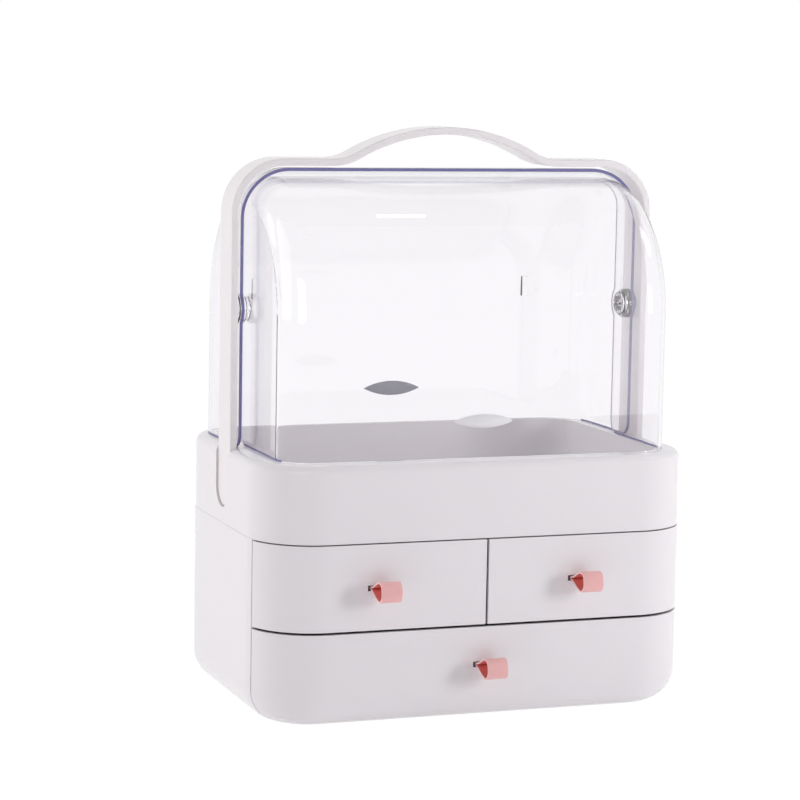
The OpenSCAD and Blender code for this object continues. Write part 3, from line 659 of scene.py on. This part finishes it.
def strap_looks(section, width):
    """The material index of each stretch of the strap's outline."""
    looks = []
    for (x1, t1), (x2, t2) in zip(section, section[1:] + section[:1]):
        if abs(x1 + x2) / 2 > (width - STRAP_ROUND) / 2:
            looks.append(CUT_SIDE)
        elif t1 + t2 > 0:
            looks.append(INNER_FACE)
        else:
            looks.append(OUTER_FACE)
    return looks


def strap_rings(bm, section, slot_x, face_y, slot_z):
    """Corners of the strap's section at each point along its line."""
    line = smooth_line(STRAP_LINE)
    rings = []
    for before, here, after in zip(line[:1] + line, line, line[1:] + line[-1:]):
        along = Vector((0, before[0] - after[0], after[1] - before[1])).normalized()
        across = Vector((1, 0, 0)).cross(along)
        centre = Vector((slot_x, face_y - here[0] * MM, slot_z + here[1] * MM))
        rings.append([bm.verts.new(centre + Vector((x, 0, 0)) + across * t) for x, t in section])
    return rings


def strap_piece(node):
    """A strap as wide as its CAD node, with its ends where the node's are."""
    low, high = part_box(node)
    width = high.x - low.x
    section = strap_section(width)
    looks = strap_looks(section, width)
    bm = bmesh.new()
    rings = strap_rings(bm, section, (low.x + high.x) / 2, high.y - STRAP_DEPTH, (low.z + high.z) / 2)
    for near, far in zip(rings, rings[1:]):
        for face, look in zip(join_rings(bm, near, far), looks):
            face.material_index = look
    bm.faces.new(rings[0][::-1])
    bm.faces.new(rings[-1])
    bmesh.ops.recalc_face_normals(bm, faces=bm.faces)
    bm.normal_update()
    finish_look(bm, node, [pink_leather, cut_edge, strap_inner_painted_shade], weighted=False)


for name in ("lower_pull_strap", "left_pull_strap", "right_pull_strap"):
    strap_piece(name)


# ---- floor, light and camera ----

def seen_directly(nodes, links):
    """1 for the rays that show the background itself: from the camera, in a reflection or through glass."""
    path = nodes.new("ShaderNodeLightPath")
    total = path.outputs["Is Camera Ray"]
    for name in ("Is Glossy Ray", "Is Transmission Ray"):
        total = combine(nodes, links, "MAXIMUM", total, path.outputs[name])
    return total


def floor_material():
    """Pale paper that is nearly white to the camera and glows a little, which lights the object a little
    from below: a painted bounce light.
    """
    mat, nodes, links = new_material("pale_floor")
    out = nodes.new("ShaderNodeOutputMaterial")
    paper = nodes.new("ShaderNodeBsdfDiffuse")
    paper.inputs["Color"].default_value = (*FLOOR_TONE, 1)
    white = nodes.new("ShaderNodeEmission")
    white.inputs["Strength"].default_value = FLOOR_GLOW
    # the floor's own glow: painted bounce light
    bounce_glow = nodes.new("ShaderNodeEmission")
    bounce_glow.inputs["Strength"].default_value = FLOOR_BOUNCE_GLOW
    lit = nodes.new("ShaderNodeAddShader")
    links.new(paper.outputs["BSDF"], lit.inputs[0])
    links.new(bounce_glow.outputs["Emission"], lit.inputs[1])
    share = between(nodes, links, seen_directly(nodes, links), 0, FLOOR_SHARE, 0, 1)
    mix = blend_shaders(nodes, links, share, lit.outputs["Shader"], white.outputs["Emission"])
    links.new(mix, out.inputs["Surface"])
    return mat


def make_floor():
    bm = bmesh.new()
    bmesh.ops.create_grid(bm, x_segments=1, y_segments=1, size=FLOOR_SIZE / 2)
    mesh = bpy.data.meshes.new("floor")
    bm.to_mesh(mesh)
    bm.free()
    mesh.materials.append(floor_material())
    floor = add_object("floor", mesh)
    floor.location.z = -FLOOR_DROP


def make_world():
    """A white room, brightest overhead and dimmest towards the camera."""
    world = bpy.data.worlds.new("studio")
    bpy.context.scene.world = world
    world.use_nodes = True
    nodes = world.node_tree.nodes
    links = world.node_tree.links
    nodes.clear()
    out = nodes.new("ShaderNodeOutputWorld")
    coords = nodes.new("ShaderNodeTexCoord")
    parts = nodes.new("ShaderNodeSeparateXYZ")
    links.new(coords.outputs["Generated"], parts.inputs["Vector"])
    level = between(nodes, links, parts.outputs["Z"], FILL_LEVEL, FILL_OVERHEAD, *FILL_HEIGHTS)
    facing = between(nodes, links, parts.outputs["Y"], FILL_FRONT_SHARE, 1, *FILL_DEPTHS)
    fill = nodes.new("ShaderNodeBackground")
    fill.inputs["Color"].default_value = (*FILL_TONE, 1)
    links.new(combine(nodes, links, "MULTIPLY", level, facing), fill.inputs["Strength"])
    seen = nodes.new("ShaderNodeBackground")
    seen.inputs["Color"].default_value = (1, 1, 1, 1)
    mix = blend_shaders(nodes, links, seen_directly(nodes, links),
                        fill.outputs["Background"], seen.outputs["Background"])
    links.new(mix, out.inputs["Surface"])


def area_lamp(name, place, width, height, radiance, tone=(1, 1, 1)):
    """Rectangular lamp that faces down and that the camera doesn't see."""
    data = bpy.data.lights.new(name, "AREA")
    data.shape = "RECTANGLE"
    data.size = width
    data.size_y = height
    data.energy = radiance * math.pi * width * height
    data.color = tone
    lamp = add_object(name, data)
    lamp.location = place
    lamp.visible_camera = False
    return lamp


def soft_box(name, azimuth, distance, heights, width, radiance, tone=(1, 1, 1), mirrored=True,
             lighting=True, aim=None):
    """Lamp between two heights, azimuth degrees right of the front, upright or turned to the height aim."""
    low, high = heights
    centre = (low + high) / 2
    turn = math.radians(azimuth)
    place = (distance * math.sin(turn), -distance * math.cos(turn), centre)
    lamp = area_lamp(name, place, width, high - low, radiance, tone)
    target = Vector((0, 0, centre if aim is None else aim))
    lamp.rotation_euler = (target - lamp.location).to_track_quat("-Z", "Y").to_euler()
    lamp.visible_glossy = mirrored
    lamp.visible_diffuse = lighting


def make_lights():
    """Two lamps that only light, three that show only in reflections, and two that do both."""
    soft_box("left_wall", azimuth=-98, distance=2.2, heights=(0.05, 2.2), width=1.8, radiance=1.7,
             tone=WALL_TONE, mirrored=False)
    right_front = {"azimuth": 39, "distance": 1.3, "heights": (0.19, 0.65), "width": 0.36}
    soft_box("right_front_box", **right_front, radiance=11.0, mirrored=False)
    soft_box("right_front_strip", **right_front, radiance=2.5, lighting=False)
    soft_box("left_front_strip", azimuth=-34, distance=1.7, heights=(0.10, 1.07), width=0.85, radiance=2.5,
             lighting=False)
    soft_box("rear_left_strip", azimuth=-133, distance=1.8, heights=(0.52, 0.92), width=0.24, radiance=3.0,
             lighting=False)
    soft_box("right_high_box", azimuth=71, distance=1.25, heights=(1.08, 1.72), width=0.45, radiance=3.0,
             aim=0.25)
    area_lamp("overhead_lamp", place=(0.64, 0.028, 2.2), width=0.07, height=0.07, radiance=12.0)


def make_camera():
    data = bpy.data.cameras.new("camera")
    data.lens = CAMERA_LENS
    data.sensor_width = CAMERA_SENSOR
    data.clip_start = CAMERA_NEAR
    data.clip_end = CAMERA_FAR
    camera = add_object("camera", data)
    ahead = Vector((math.sin(CAMERA_YAW) * math.cos(CAMERA_PITCH),
                    math.cos(CAMERA_YAW) * math.cos(CAMERA_PITCH), -math.sin(CAMERA_PITCH)))
    level = Vector((math.cos(CAMERA_YAW), -math.sin(CAMERA_YAW), 0))
    right = Matrix.Rotation(-CAMERA_ROLL, 3, ahead) @ level
    turn = Matrix((right, right.cross(ahead), -ahead)).transposed()
    camera.matrix_world = Matrix.Translation(CAMERA_PLACE) @ turn.to_4x4()
    bpy.context.scene.camera = camera


make_floor()
make_world()
make_lights()
make_camera()
bpy.context.scene.view_settings.view_transform = "Standard"
